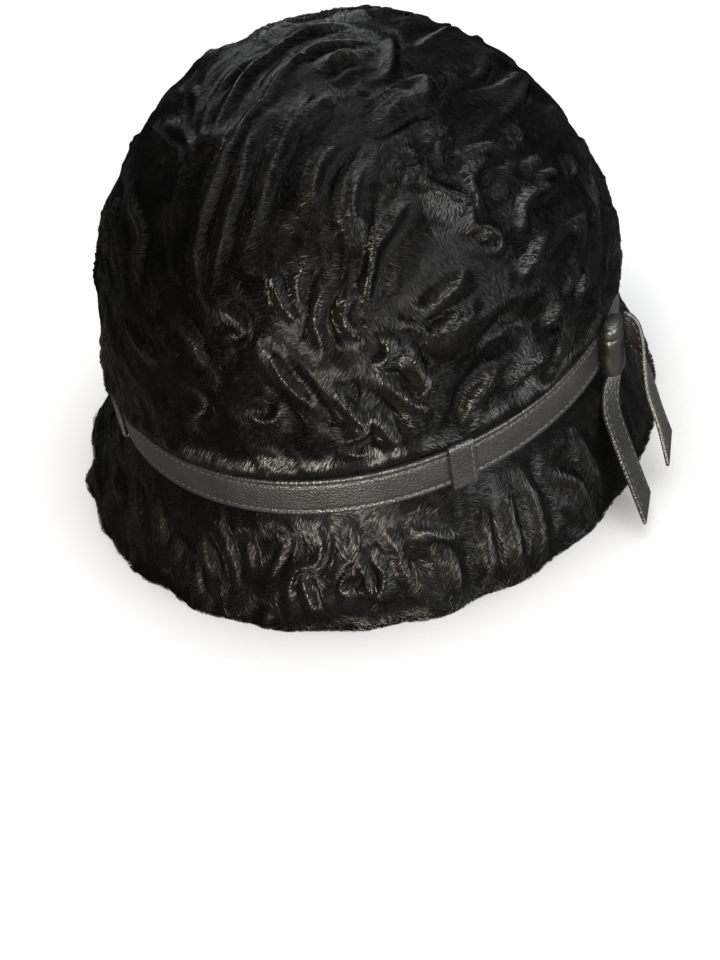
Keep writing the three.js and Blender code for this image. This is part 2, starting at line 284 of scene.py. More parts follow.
BRIM_RIDGES = (
    ((217, 524), (230, 549), (238, 578), (234, 603)),
    ((201, 528), (209, 558), (213, 583)),
    ((263, 524), (284, 537), (276, 566), (263, 587)),
    ((301, 528), (321, 537), (317, 562), (296, 570), (288, 599), (292, 620)),
    ((346, 528), (355, 549), (338, 574), (330, 599)),
    ((362, 579), (349, 574), (341, 584), (347, 602)),
    ((358, 554), (364, 570), (370, 588), (374, 602)),
    ((369, 604), (379, 592), (382, 572), (366, 552)),
    ((380, 528), (396, 545), (405, 570), (417, 591)),
    ((409, 549), (425, 533), (455, 537), (459, 520)),
    ((500, 480), (504, 500), (509, 528), (521, 578)),
    ((513, 472), (529, 495), (538, 528), (542, 558)),
    ((559, 450), (550, 470), (579, 487), (592, 520)),
    ((571, 432), (584, 455), (600, 483)),
    ((117, 470), (121, 490), (124, 512)),
    ((136, 478), (141, 503), (143, 533)),
    ((158, 492), (162, 520), (162, 556)),
    ((178, 529), (180, 546), (178, 571)),
    ((196, 560), (199, 580), (200, 603)),
    ((246, 536), (251, 556), (252, 578)),
    ((302, 575), (309, 595), (318, 618)),
    ((440, 545), (452, 570), (458, 600)),
    ((478, 515), (486, 545), (490, 580)),
)

# Ridges on the sides and at the back, which don't show: angle from the front, height over the hem, and
# lean to the right of straight up, seen from outside. Degrees and millimetres.
HIDDEN_RUNS = (
    (-75, 90, -20), (-95, 70, 10), (-100, 120, 30), (-130, 90, -15), (-150, 125, 40), (110, 80, -25),
    (130, 95, 20), (120, 130, 60), (180, 80, 5), (180, 125, -25), (-160, 70, 15), (155, 70, -10),
    (80, 15, -12), (105, 15, 10), (-75, 15, 14), (-105, 15, -10), (135, 20, 8), (-135, 20, -8),
    (160, 15, -6), (-160, 15, 9), (180, 20, 0),
)
TRACE_POINTS = 10
TRACE_STEP = 0.7
RIDGE_TAPER = 0.35
RIDGE_HEIGHTS = (0.6, 1.25)
RUN_STEPS = 200
RUN_TURN = 0.01
RUN_EVERY = 7
RUN_REACH = 7.0
COARSE = 4
SWIRL_TURN = 0.35
# Ridges get broader towards the side of the knot.
BROADER = 1.0
BROADER_FROM = (-15, 45)
# Keeps the directions along a level surface defined
LEVEL_NUDGE = (1e-6, 0, 0)

LATTICE_SIZE = 64
LATTICE = rng.uniform(-1, 1, (LATTICE_SIZE,) * 3)
# Noises over the hat: a shift that makes each of them different, and the size of its cells
CURL_NOISE = (0, 7.0)
PATCH_NOISE = (50, 16.0)
FINE_CURL_NOISE = (200, 3.6)
TWIST_NOISE = (300, 2.5)
DRIFT_NOISE = (350, 9.0)
WAVER_NOISE = (400, 6.0)
SWIRL_NOISE = (500, 30.0)
SHEEN_NOISE = (600, 9.0)
SWELL_NOISE = (700, 13.0)
CLUMP_NOISE = (900, 8.0)
FALL_NOISE = (920, 7.0)
SWAY_NOISE = (950, 9.0)


def noise(points, shift, size):
    """Smooth noise from -1 to 1 in space, with cells of this size."""
    place = (points + shift) / size
    cell = np.floor(place).astype(int)
    share = place - cell
    share = share * share * (3 - 2 * share)
    total = 0
    for corner in np.ndindex(2, 2, 2):
        at = (cell + corner) % LATTICE_SIZE
        weight = np.prod(np.where(corner, share, 1 - share), axis=-1)
        total = total + weight * LATTICE[at[..., 0], at[..., 1], at[..., 2]]
    return total


def spline(rows, steps):
    """A smooth curve through points, by cubic pieces, as an array of points."""
    rows = np.asarray(rows, float)
    padded = np.concatenate((2 * rows[:1] - rows[1:2], rows, 2 * rows[-1:] - rows[-2:-1]))
    share = np.linspace(0, len(rows) - 1, steps)
    index = np.clip(share.astype(int), 0, len(rows) - 2)
    part = (share - index)[:, None]
    before, start, end, beyond = (padded[index + step] for step in range(4))
    square = 2 * before - 5 * start + 4 * end - beyond
    cube = 3 * start - before - 3 * end + beyond
    return 0.5 * (2 * start + (end - before) * part + square * part ** 2 + cube * part ** 3)


def evenly(line, step):
    """Points a step apart along a line, as places between the line's points."""
    length = np.concatenate(((0,), np.cumsum(np.linalg.norm(np.diff(line, axis=0), axis=1))))
    return np.interp(np.arange(0, length[-1], step), length, np.arange(len(line)))


def along_line(values, places):
    """Values at places between a line's points."""
    index = np.clip(places.astype(int), 0, len(values) - 2)
    share = (places - index)[:, None]
    return values[index] * (1 - share) + values[index + 1] * share


class Ridges:
    """Points along the traced ridges, with the direction along each, the one across, and its height."""

    def __init__(self, traces, points, normals):
        rows = []
        for trace in traces:
            pixels = spline(trace, TRACE_POINTS * len(trace))
            line, normal = under_pixels(pixels, points, normals)
            places = evenly(line, TRACE_STEP)
            line = along_line(line, places)
            ahead = unit(np.gradient(line, axis=0))
            side = unit(np.cross(along_line(normal, places), ahead))
            share = np.linspace(0, 1, len(line))
            taper = smooth_step(0, RIDGE_TAPER, share) * smooth_step(0, RIDGE_TAPER, 1 - share)
            rows.append(np.column_stack((line, ahead, side, taper * rng.uniform(*RIDGE_HEIGHTS))))
        rows = np.concatenate(rows)
        self.places, self.ahead, self.side, self.height = np.split(rows, (3, 6, 9), 1)
        self.width = 1 + BROADER * smooth_step(*BROADER_FROM, self.places[:, :1])

    def nearest(self, points):
        """Index of the ridge point that is nearest to each point."""
        tree = KDTree(len(self.places))
        for index, place in enumerate(self.places):
            tree.insert(place, index)
        tree.balance()
        return np.array([tree.find(point)[1] for point in points])


def tangents(normals):
    """Two directions along the surface: round the hat and up it."""
    east = unit(np.cross((0.0, 0.0, 1.0), normals + LEVEL_NUDGE))
    return east, np.cross(normals, east)


def hidden_runs():
    """Places and directions of the rows of HIDDEN_RUNS."""
    rows = np.array(HIDDEN_RUNS, float)
    places = []
    normals = []
    for degrees, height, _ in rows:
        turn = math.radians(degrees)
        on_crown = height > BAND_LOW + BAND_TALL
        make = dome_point if on_crown else brim_point
        steps = np.linspace(0, math.pi / 2 if on_crown else 1, RUN_STEPS)
        line = make(turn, steps, 0)
        index = int(np.clip(np.abs(line[:, 2] - height).argmin(), 1, len(steps) - 2))
        up = (line[index + 1] - line[index - 1]) * (1 if on_crown else -1)
        beside = make(turn + RUN_TURN, steps, 0)[index] - line[index]
        places.append(line[index])
        normals.append(np.cross(beside, up))
    east, north = tangents(unit(np.array(normals)))
    lean = np.radians(rows[:, 2])[:, None]
    return np.array(places), east * np.sin(lean) + north * np.cos(lean)


# The section of a ridge, and how uneven it is
CREST_HEIGHT = 2.0
GENTLE = 1.7
STEEP = 1.0
CREST_ROUND = 0.35
TROUGH = 0.4
TROUGH_AT = 2.7
TROUGH_WIDE = 1.5
RIDGE_END = 2.0
WAVER = 0.35
SWELL_HEIGHT = 0.35
# Curls are grown in patches, and more of them at this distance from the traced ridges.
GROWN_FROM = (6, 16)
GROWN_PATCH = (-0.3, 0.4)
GROWN_LEAST = 0.3
CURL_SPACING = 2.3
CURL_LEVEL = 0.55
FINE_HEIGHT = 0.32
FINE_WIDE = 0.35
COMB_STEP = 1.6
COMB_STEPS = 11
LEAST_STEP = 0.01
# Patches in which the crest share, and with it the painted highlight of the hair, is stronger or weaker
SHEEN_MEAN = 0.8
SHEEN_SPREAD = 0.6
# Hair leans off a traced ridge, along it and aside. Elsewhere it lies across the curls, with this flow.
HAIR_ALONG = 0.64
HAIR_ASIDE = 0.77
HAIR_FLOW = (0.35, 0.1, -0.9)
NEAR_RIDGE = 4.5


def crest(offset):
    """Height across a ridge: a gentle side, the crest, then a steep side and a trough."""
    gentle = np.exp((CREST_ROUND - np.hypot(offset, CREST_ROUND)) / GENTLE)
    trough = TROUGH * np.exp(-(((offset - TROUGH_AT) / TROUGH_WIDE) ** 2))
    return np.where(offset < 0, gentle, np.exp(-((offset / STEEP) ** 2)) - trough)


class Pelt:
    """A grid of points over the crown or the brim, with its curls and the lie of its hair."""

    def __init__(self, points, fade, lift, fall, traces):
        self.shape = points.shape[:2]
        self.base = points
        self.flat = points.reshape(-1, 3)
        self.lift = np.broadcast_to(lift, (*self.shape, 1))
        self.fall = np.broadcast_to(fall, (*self.shape, 1))
        self.base_normals = self.normals_of(points)
        self.across, self.along = self.steps_of(points)
        ridges = Ridges(traces, self.flat, self.base_normals.reshape(-1, 3))
        nearest = ridges.nearest(self.flat)
        offset = self.flat - ridges.places[nearest]
        gap = np.linalg.norm(offset, axis=1)
        self.way = self.ridge_way(ridges)
        coarse, fine = self.grown(gap)
        relief = self.traced(ridges, nearest, offset) + coarse + fine
        # The crest share shortens the hair on the crests and also paints light on it: paler colour and
        # glossier copies on the crests, darker copies between the curls
        sheen = np.clip(SHEEN_MEAN + SHEEN_SPREAD * noise(self.flat, *SHEEN_NOISE), 0, 1)
        crest_share = np.clip(relief, 0, 1) ** 2 * sheen
        # Falling hair has at least its falling share as crest share: a painted highlight along the fringe
        # over the band, and a painted sheen over the brim
        self.crest = np.maximum(crest_share.reshape(*self.shape, 1), fall)
        height = CREST_HEIGHT * relief + SWELL_HEIGHT * noise(self.flat, *SWELL_NOISE)
        self.points = points + self.base_normals * height.reshape(*self.shape, 1) * fade
        self.normals = self.normals_of(self.points)
        self.hair_way = self.lay_hair(ridges, nearest, gap)

    def traced(self, ridges, nearest, offset):
        """Height of the traced ridges at the points, each offset from the nearest point of a ridge."""
        aside = (offset * ridges.side[nearest]).sum(1) + WAVER * noise(self.flat, *WAVER_NOISE)
        beyond = np.abs((offset * ridges.ahead[nearest]).sum(1))
        width = ridges.width[nearest, 0]
        height = crest(aside / width) * np.sqrt(width) * ridges.height[nearest, 0]
        return height * np.exp(-((beyond / RIDGE_END) ** 2))

    def grown(self, gap):
        """Heights of the coarse and the fine curls at the points, a gap away from the traced ridges."""
        wave, fine = self.combed()
        patch = smooth_step(*GROWN_PATCH, noise(self.flat, *PATCH_NOISE))
        in_patch = GROWN_LEAST + (1 - GROWN_LEAST) * patch
        between = GROWN_LEAST + (1 - GROWN_LEAST) * smooth_step(*GROWN_FROM, gap)
        coarse = crest(CURL_SPACING * (np.abs(wave) - CURL_LEVEL)) * between * in_patch
        return coarse, FINE_HEIGHT * np.exp(-((fine / FINE_WIDE) ** 2)) * patch * between

    def lay_hair(self, ridges, nearest, gap):
        """Direction of the hair: off the traced ridges, across the grown curls, and down where it falls."""
        beside = HAIR_ALONG * ridges.ahead[nearest] - HAIR_ASIDE * ridges.side[nearest]
        lay = np.cross(self.base_normals.reshape(-1, 3), self.way.reshape(-1, 3))
        lay = lay * np.sign((lay * HAIR_FLOW).sum(1, keepdims=True))
        near = np.exp(-((gap / NEAR_RIDGE) ** 2))[:, None]
        swept = (beside * near + lay * (1 - near)).reshape(*self.shape, 3)
        east, north = tangents(self.base_normals)
        falling = FRINGE_SWAY * noise(self.base, *SWAY_NOISE)[..., None] * east - north
        return unit(swept * (1 - self.fall) + falling * self.fall)

    @staticmethod
    def steps_of(points):
        """How a surface moves with one step round and one step up the grid."""
        return (np.roll(points, -1, 1) - np.roll(points, 1, 1)) / 2, np.gradient(points, axis=0)

    def normals_of(self, points):
        across, along = self.steps_of(points)
        return unit(np.cross(across, along))

    def ridge_way(self, ridges):
        """Direction along the curls' ridges, from the traced ridges and the hidden runs."""
        hidden_places, hidden_ways = hidden_runs()
        places = np.concatenate((ridges.places[::RUN_EVERY], hidden_places))
        ways = np.concatenate((ridges.ahead[::RUN_EVERY], hidden_ways))
        coarse = self.base[::COARSE, ::COARSE]
        gap = np.linalg.norm(coarse.reshape(-1, 3)[:, None] - places[None], axis=2)
        weight = 1 / (gap ** 2 + RUN_REACH ** 2) ** 2
        turns = weight @ (ways[:, :, None] * ways[:, None]).reshape(-1, 9)
        turns = turns / weight.sum(1, keepdims=True)
        row, column = np.indices(self.shape).reshape(2, -1) / COARSE
        turns = sample(turns.reshape(*coarse.shape[:2], 9), row, column).reshape(-1, 3, 3)
        east, north = tangents(self.base_normals.reshape(-1, 3))
        in_east = np.einsum("ni,nij,nj->n", east, turns, east)
        in_north = np.einsum("ni,nij,nj->n", north, turns, north)
        mixed = np.einsum("ni,nij,nj->n", east, turns, north)
        turn = 0.5 * np.arctan2(2 * mixed, in_east - in_north)
        turn = turn + SWIRL_TURN * noise(self.flat, *SWIRL_NOISE)
        way = east * np.cos(turn)[:, None] + north * np.sin(turn)[:, None]
        return way.reshape(*self.shape, 3)

    def combed(self):
        """Coarse and fine noise that is drawn out along the ridges."""
        coarse = noise(self.flat, *CURL_NOISE)
        fine = noise(self.flat, *FINE_CURL_NOISE)
        row_start, column_start = np.indices(self.shape).reshape(2, -1).astype(float)
        in_row = self.along / (self.along ** 2).sum(2, keepdims=True)
        in_column = self.across / np.maximum((self.across ** 2).sum(2, keepdims=True), LEAST_STEP)
        for sign in (1, -1):
            row, column = row_start.copy(), column_start.copy()
            heading = sign * self.way.reshape(-1, 3)
            at = (row.astype(int), column.astype(int))
            for step in range(COMB_STEPS):
                row = np.clip(row + COMB_STEP * (heading * in_row[at]).sum(1), 0, self.shape[0] - 1)
                column = column + COMB_STEP * (heading * in_column[at]).sum(1)
                at = (np.rint(row).astype(int), np.rint(column).astype(int) % self.shape[1])
                ahead = self.way[at]
                heading = ahead * np.where((ahead * heading).sum(1, keepdims=True) < 0, -1, 1)
                weight = 1 - step / COMB_STEPS
                coarse = coarse + weight * noise(self.base[at], *CURL_NOISE)
                fine = fine + weight * noise(self.base[at], *FINE_CURL_NOISE)
        return coarse / coarse.std(), fine / fine.std()


def sample(grid, row, column):
    """Values of a grid between its points; the columns go all the way round."""
    rows, columns = grid.shape[:2]
    low_row = np.clip(np.floor(row).astype(int), 0, rows - 2)
    low_column = np.floor(column).astype(int)
    row_share = np.clip(row - low_row, 0, 1)[:, None]
    column_share = (column - low_column)[:, None]
    here = low_column % columns
    after = (low_column + 1) % columns
    low = grid[low_row, here] * (1 - column_share) + grid[low_row, after] * column_share
    high = grid[low_row + 1, here] * (1 - column_share) + grid[low_row + 1, after] * column_share
    return low * (1 - row_share) + high * row_share


# Meshes

def make_object(name, points, faces, materials, slots=None):
    """A mesh object from points in millimetres and faces that all have the same number of corners."""
    faces = np.asarray(faces, np.int32)
    corners = faces.shape[1]
    mesh = bpy.data.meshes.new(name)
    mesh.vertices.add(len(points))
    mesh.vertices.foreach_set("co", ((np.asarray(points) + (MIDDLE[0], MIDDLE[1], 0)) * MM).ravel())
    mesh.loops.add(faces.size)
    mesh.loops.foreach_set("vertex_index", faces.ravel())
    mesh.polygons.add(len(faces))
    mesh.polygons.foreach_set("loop_start", np.arange(len(faces), dtype=np.int32) * corners)
    mesh.polygons.foreach_set("use_smooth", np.full(len(faces), True))
    for material in materials:
        mesh.materials.append(material)
    if slots is not None:
        mesh.polygons.foreach_set("material_index", np.asarray(slots, np.int32))
    mesh.update(calc_edges=True)
    mesh.validate()
    made = bpy.data.objects.new(name, mesh)
    bpy.context.scene.collection.objects.link(made)
    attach(made, "root")
    return made


def ring_faces(rows, columns, first=0):
    """Square faces of a grid whose columns go all the way round."""
    row = np.arange(rows - 1)[:, None] * columns
    column = np.arange(columns)[None]
    after = (column + 1) % columns
    corners = np.stack((row + column, row + after, row + columns + after, row + columns + column), -1)
    return corners.reshape(-1, 4) + first


def closed_tube(rings):
    """Points and triangles of a tube through rings of points, closed at both ends."""
    count, sides = rings.shape[:2]
    faces = ring_faces(count, sides)
    points = [rings.reshape(-1, 3)]
    triangles = [faces[:, (0, 1, 2)], faces[:, (0, 2, 3)]]
    here = np.arange(sides)
    after = (here + 1) % sides
    for end, (ring, turned) in enumerate(((0, False), (count - 1, True))):
        points.append(rings[ring].mean(0)[None])
        centre = np.full(sides, count * sides + end)
        cap = np.stack((after + ring * sides, here + ring * sides, centre), 1)
        triangles.append(cap[:, ::-1] if turned else cap)
    return np.concatenate(points), np.concatenate(triangles)


def new_material(name, roughness, specular):
    material = bpy.data.materials.new(name)
    material.use_nodes = True
    shader = material.node_tree.nodes["Principled BSDF"]
    shader.inputs["Roughness"].default_value = roughness
    shader.inputs["Specular IOR Level"].default_value = specular
    return material, material.node_tree, shader.inputs


def add_node(tree, kind, **values):
    node = tree.nodes.new(kind)
    for key, value in values.items():
        if key in node.inputs:
            node.inputs[key].default_value = value
        else:
            setattr(node, key, value)
    return node


def add_texture(tree, kind, output, **values):
    """A texture's output, in the object's own coordinates."""
    texture = add_node(tree, kind, **values)
    coordinates = add_node(tree, "ShaderNodeTexCoord")
    tree.links.new(coordinates.outputs["Object"], texture.inputs["Vector"])
    return texture.outputs[output]


def add_noise(tree, scale, detail):
    return add_texture(tree, "ShaderNodeTexNoise", "Fac", Scale=scale, Detail=detail)


def add_ramp(tree, source, stops):
    """A colour that follows a texture, between two stops of place and colour."""
    ramp = tree.nodes.new("ShaderNodeValToRGB")
    for element, (place, colour) in zip(ramp.color_ramp.elements, stops):
        element.position = place
        element.color = (*colour, 1)
    tree.links.new(source, ramp.inputs["Fac"])
    return ramp.outputs["Color"]


def add_range(tree, source, low, high):
    """A value from low to high as the source goes from 0 to 1."""
    spread = add_node(tree, "ShaderNodeMapRange")
    spread.inputs["To Min"].default_value = low
    spread.inputs["To Max"].default_value = high
    tree.links.new(source, spread.inputs["Value"])
    return spread.outputs["Result"]


def add_bump(tree, height, strength, distance):
    bump = add_node(tree, "ShaderNodeBump", Strength=strength, Distance=distance)
    tree.links.new(height, bump.inputs["Height"])
    return bump


LOCK_MAP = "OFBake"
# Attribute that carries the crest share to the hair's colour, a painted highlight
CREST_HIGHLIGHT_ATTRIBUTE = "crest"
HAIR_ROUGHNESS = 0.36
HAIR_ANISOTROPY = 0.85
# Copies of the hair with painted light: little gloss between the curls, a painted shade, more on their
# sides, and most on their crests, a painted highlight
HAIR_PAINTED_LIGHT_COPIES = (("pelt_hair_painted_shade", 0.055), ("pelt_hair_side", 0.13), ("pelt_hair_painted_highlight", 0.22))
HAIR_COLOURS = ((0.35, (0.0004, 0.0004, 0.00045)), (0.7, (0.0012, 0.0012, 0.0012)))
# Colour the hair is painted towards along the curls' crests, a painted highlight
CREST_PAINTED_HIGHLIGHT = (0.003, 0.0029, 0.0026, 1)
SKIN_COLOURS = ((0.3, (0.0004, 0.0004, 0.00045)), (0.75, (0.001, 0.001, 0.001)))
BACKING_COLOURS = ((0.3, (0.012, 0.011, 0.011)), (0.75, (0.032, 0.029, 0.027)))
LEATHER_SPECULAR = 0.52
LEATHER_COLOURS = ((0.3, (0.0025, 0.0024, 0.0023)), (0.75, (0.0056, 0.0053, 0.005)))
THREAD_COLOURS = ((0.3, (0.016, 0.0152, 0.0144)), (0.7, (0.044, 0.0416, 0.039)))


def hair_material(name, specular):
    """Glossy black hair, a little browner in places, and painted paler along the curls' crests, a painted
    highlight.
    """
    material, tree, shader = new_material(name, HAIR_ROUGHNESS, specular)
    shader["Anisotropic"].default_value = HAIR_ANISOTROPY
    across_hair = add_node(tree, "ShaderNodeTangent", direction_type="UV_MAP", uv_map=LOCK_MAP)
    tree.links.new(across_hair.outputs["Tangent"], shader["Tangent"])
    # The crest share paints the hair paler, a painted highlight on the crests
    crest_highlight = add_node(tree, "ShaderNodeAttribute", attribute_name=CREST_HIGHLIGHT_ATTRIBUTE)
    painted_highlight = add_node(tree, "ShaderNodeMix", data_type="RGBA")
    painted_highlight.inputs["B"].default_value = CREST_PAINTED_HIGHLIGHT
    tree.links.new(crest_highlight.outputs["Fac"], painted_highlight.inputs["Factor"])
    patches = add_noise(tree, scale=90.0, detail=3.0)
    tree.links.new(add_ramp(tree, patches, HAIR_COLOURS), painted_highlight.inputs["A"])
    tree.links.new(painted_highlight.outputs["Result"], shader["Base Color"])
    return material


def skin_material():
    """The dense short hair under the longer ones."""
    material, tree, shader = new_material("pelt_skin", roughness=0.5, specular=0.05)
    patches = add_noise(tree, scale=120.0, detail=3.0)
    tree.links.new(add_ramp(tree, patches, SKIN_COLOURS), shader["Base Color"])
    fibres = add_noise(tree, scale=2600.0, detail=2.0)
    relief = add_bump(tree, fibres, strength=0.7, distance=0.0004)
    tree.links.new(relief.outputs["Normal"], shader["Normal"])
    return material


def backing_material():
    """The suede side of the pelt, inside the hat."""
    material, tree, shader = new_material("pelt_backing", roughness=0.9, specular=0.2)
    nap = add_noise(tree, scale=900.0, detail=5.0)
    tree.links.new(add_ramp(tree, nap, BACKING_COLOURS), shader["Base Color"])
    relief = add_bump(tree, nap, strength=0.4, distance=0.0004)
    tree.links.new(relief.outputs["Normal"], shader["Normal"])
    return material


def leather_material(name, smoothest, roughest, grain_strength):
    """Dark grey leather with a fine pebbled grain."""
    material, tree, shader = new_material(name, roughest, LEATHER_SPECULAR)
    wear = add_noise(tree, scale=110.0, detail=4.0)
    tree.links.new(add_ramp(tree, wear, LEATHER_COLOURS), shader["Base Color"])
    tree.links.new(add_range(tree, wear, smoothest, roughest), shader["Roughness"])
    pebbles = add_texture(tree, "ShaderNodeTexVoronoi", "Distance", Scale=1300.0)
    grain = add_bump(tree, pebbles, strength=grain_strength, distance=0.0004)
    pores = add_noise(tree, scale=3200.0, detail=3.0)
    relief = add_bump(tree, pores, strength=0.35, distance=0.0001)
    tree.links.new(grain.outputs["Normal"], relief.inputs["Normal"])
    tree.links.new(relief.outputs["Normal"], shader["Normal"])
    return material


def thread_material():
    """Grey sewing thread."""
    material, tree, shader = new_material("thread", roughness=0.6, specular=0.4)
    fibres = add_noise(tree, scale=4000.0, detail=2.0)
    tree.links.new(add_ramp(tree, fibres, THREAD_COLOURS), shader["Base Color"])
    return material


# Copies of the hair with painted shade and painted highlight
HAIRS = tuple(hair_material(name, specular) for name, specular in HAIR_PAINTED_LIGHT_COPIES)
SKIN = skin_material()
BACKING = backing_material()
LEATHER = leather_material("strap_leather", smoothest=0.38, roughest=0.52, grain_strength=0.5)
STRETCHED_LEATHER = leather_material(
    "stretched_leather", smoothest=0.32, roughest=0.42, grain_strength=0.12
)
THREAD = thread_material()


# Pelt: a closed wall with curls outside, and the hair on it

CROWN_COLUMNS = 540
CROWN_ROWS = 160
CROWN_START = -0.06
CROWN_END = 0.004
LINING_ROWS = 14
BRIM_COLUMNS = 620
BRIM_ROWS = 74
BRIM_START = -0.06
BRIM_INSIDE_ROWS = 8
FRONT_CROWDING = 0.45
# Curls rise over the band's edge; the fringe bulges over it, in clumps. Millimetres over the edge.
CURLS_FROM = (0.3, 4)
FRINGE = 3.3
FRINGE_CLUMPS = (0.9, 0.35)
FRINGE_RISE = (0.2, 3.5)
FRINGE_END = (1.5, 10)
FRINGE_FUZZ = 1.5
FRINGE_SWAY = 1.2
# Hair that falls over the edge: where it ends, how ragged, and its share of the lie of the hair; the
# falling share also paints a highlight on it
FALL_END = (4, 12)
FALL_RAGGED = 5
FALL_SHARE = (0.65, 0.8)
MOST_FALL = 0.9
# Brim hair leans down by this share, which is also the least crest share of its hair, a painted sheen over
# the brim
BRIM_FALL_AND_SHEEN = 0.12
# Curls and hair of the brim. The pairs are shares of the way from the band to the hem.
BRIM_CURLS = 0.75
BRIM_CURLS_FROM = (0.02, 0.2)
HEM_FROM = (0.9, 1)
HEM_FLATTENS = 0.3
HEM_FUZZ = 4.0


def column_angles(columns):
    """Angles round the hat, closer together where the photograph shows it."""
    turn = np.linspace(0, 2 * math.pi, columns, endpoint=False)[None]
    return turn - FRONT_CROWDING * np.sin(turn - CAMERA_TURN)


def crown_pelt():
    angle = column_angles(CROWN_COLUMNS)
    sweep = np.linspace(CROWN_START, math.pi / 2 - CROWN_END, CROWN_ROWS)[:, None]
    angle, sweep = np.broadcast_arrays(angle, sweep)
    over = over_band(sweep)[..., None]
    fade = smooth_step(*CURLS_FROM, over)
    skin = crown_skin(angle, sweep)
    clumps = noise(skin, *CLUMP_NOISE)[..., None]
    fringe = FRINGE * (FRINGE_CLUMPS[0] + FRINGE_CLUMPS[1] * clumps) * smooth_step(*FRINGE_RISE, over)
    fringe = fringe * (1 - smooth_step(*FRINGE_END, over))
    outwards = unit(skin * (1, 1, 0))
    near_band = 1 - smooth_step(*FALL_END, over - FALL_RAGGED * clumps)
    lift = 1 + FRINGE_FUZZ * near_band
    falling = FALL_SHARE[0] + FALL_SHARE[1] * noise(skin, *FALL_NOISE)[..., None]
    # The falling share also paints the fringe's hair lighter, a painted highlight
    fall = near_band * np.clip(falling, 0, MOST_FALL)
    return Pelt(skin + outwards * fringe, fade, lift, fall, CROWN_RIDGES), angle


def crown_wall(pelt, angle):
    lining_sweep = np.linspace(CROWN_START, math.pi / 2 - CROWN_END, LINING_ROWS)[:, None]
    lining_angle, lining_sweep = np.broadcast_arrays(angle[:1], lining_sweep)
    inside = dome_point(lining_angle, lining_sweep, PELT_THICK)
    return close_wall("crown_pelt", pelt.points, inside, poles=True)


def close_wall(name, outside, inside, poles):
    """Outside and inside grids, both from the lower edge up, joined along their edges."""
    columns = outside.shape[1]
    points = [outside.reshape(-1, 3), inside.reshape(-1, 3)]
    out_rows, in_rows = len(outside), len(inside)
    start = out_rows * columns
    faces = [ring_faces(out_rows, columns), ring_faces(in_rows, columns, start)[:, ::-1]]
    slots = [np.zeros(len(faces[0]), int), np.ones(len(faces[1]), int)]
    here = np.arange(columns)
    after = (here + 1) % columns
    faces.append(np.stack((here, here + start, after + start, after), 1))
    slots.append(np.ones(columns, int))
    top_out = (out_rows - 1) * columns
    top_in = start + (in_rows - 1) * columns
    if poles:
        for top, grid, turned, slot in ((top_out, outside, False, 0), (top_in, inside, True, 1)):
            pole = sum(len(part) for part in points)
            points.append(grid[-1].mean(0)[None])
            cap = np.stack((here + top, after + top, np.full(columns, pole), np.full(columns, pole)), 1)
            faces.append(cap[:, ::-1] if turned else cap)
            slots.append(np.full(columns, slot))
    else:
        faces.append(np.stack((here + top_out, after + top_out, after + top_in, here + top_in), 1))
        slots.append(np.ones(columns, int))
    triangles, slots = split_faces(np.concatenate(faces), np.concatenate(slots))
    return make_object(name, np.concatenate(points), triangles, (SKIN, BACKING), slots)


def split_faces(faces, slots):
    """Triangles of four-cornered faces; a face with a doubled corner gives one."""
    triangles = np.concatenate((faces[:, (0, 1, 2)], faces[:, (0, 2, 3)]))
    slots = np.concatenate((slots, slots))
    sound = (
        (triangles[:, 0] != triangles[:, 1])
        & (triangles[:, 1] != triangles[:, 2])
        & (triangles[:, 2] != triangles[:, 0])
    )
    return triangles[sound], slots[sound]


def brim_pelt():
    angle = column_angles(BRIM_COLUMNS)
    flare = np.linspace(1, BRIM_START, BRIM_ROWS)[:, None]
    angle, flare = np.broadcast_arrays(angle, flare)
    near_hem = smooth_step(*HEM_FROM, flare)
    fade = BRIM_CURLS * smooth_step(*BRIM_CURLS_FROM, flare) * (1 - HEM_FLATTENS * near_hem)
    lift = 1 + HEM_FUZZ * near_hem[..., None]
    pelt = Pelt(brim_skin(angle, flare), fade[..., None], lift, BRIM_FALL_AND_SHEEN, BRIM_RIDGES)
    pelt.points[..., 2] = np.maximum(pelt.points[..., 2], 0)
    return pelt, angle


def brim_wall(pelt, angle):
    flare = np.linspace(1, BRIM_START, BRIM_INSIDE_ROWS)[:, None]
    inside_angle, flare = np.broadcast_arrays(angle[:1], flare)
    inside = brim_point(inside_angle, flare, PELT_THICK)
    return close_wall("brim_pelt", pelt.points, inside, poles=False)


HAIR_LONG = 3.0
HAIR_LENGTHS = (0.6, 1.25)
CREST_SHORTENS = 0.45
FALL_LENGTHENS = 1.6
HAIR_WIDE = 0.22
HAIR_WIDTHS = (0.7, 1.3)
HAIR_LIFT = 0.16
HAIR_LIFTS = (0.5, 1.3)
ROOT_LIFT = 0.05
# A lock's middle and tip: share of its length, and share of its lift
LOCK_LIFTS = ((0.5, 1.0), (1.0, 0.7))
HAIR_JITTER = 0.13
HAIR_TWIST = 0.2
HAIR_DRIFT = 0.25
HAIR_ROLL = 0.14
HAIR_TIPS_OVER_FLOOR = 0.15
# A lock's copy of the hair, painted shade between the curls and painted highlight on their crests, follows
# the crest share at this share of its length, with some spread.
PAINTED_LIGHT_AT = 0.4
PAINTED_LIGHT_SPREAD = 0.08
PAINTED_LIGHT_STEPS = (0.1, 0.35)
LEAST_AREA = 1e-6
LAST_ROW = 1.001
LOCK_FACES = ((0, 1, 2), (1, 3, 2))
# A lock's four points in its cell of the map
LOCK_CELL = ((0.5, 0.05), (0.9, 0.5), (0.1, 0.5), (0.5, 0.95))


def grid_rates(way, across, along):
    """Rows and columns that a millimetre in this direction passes, by the grid's steps."""
    across_square = (across ** 2).sum(1)
    along_square = (along ** 2).sum(1)
    shared = (across * along).sum(1)
    whole = np.maximum(across_square * along_square - shared * shared, LEAST_AREA)
    in_across = (way * across).sum(1)
    in_along = (way * along).sum(1)
    row_rate = (in_along * across_square - in_across * shared) / whole
    column_rate = (in_across * along_square - in_along * shared) / whole
    return row_rate, column_rate


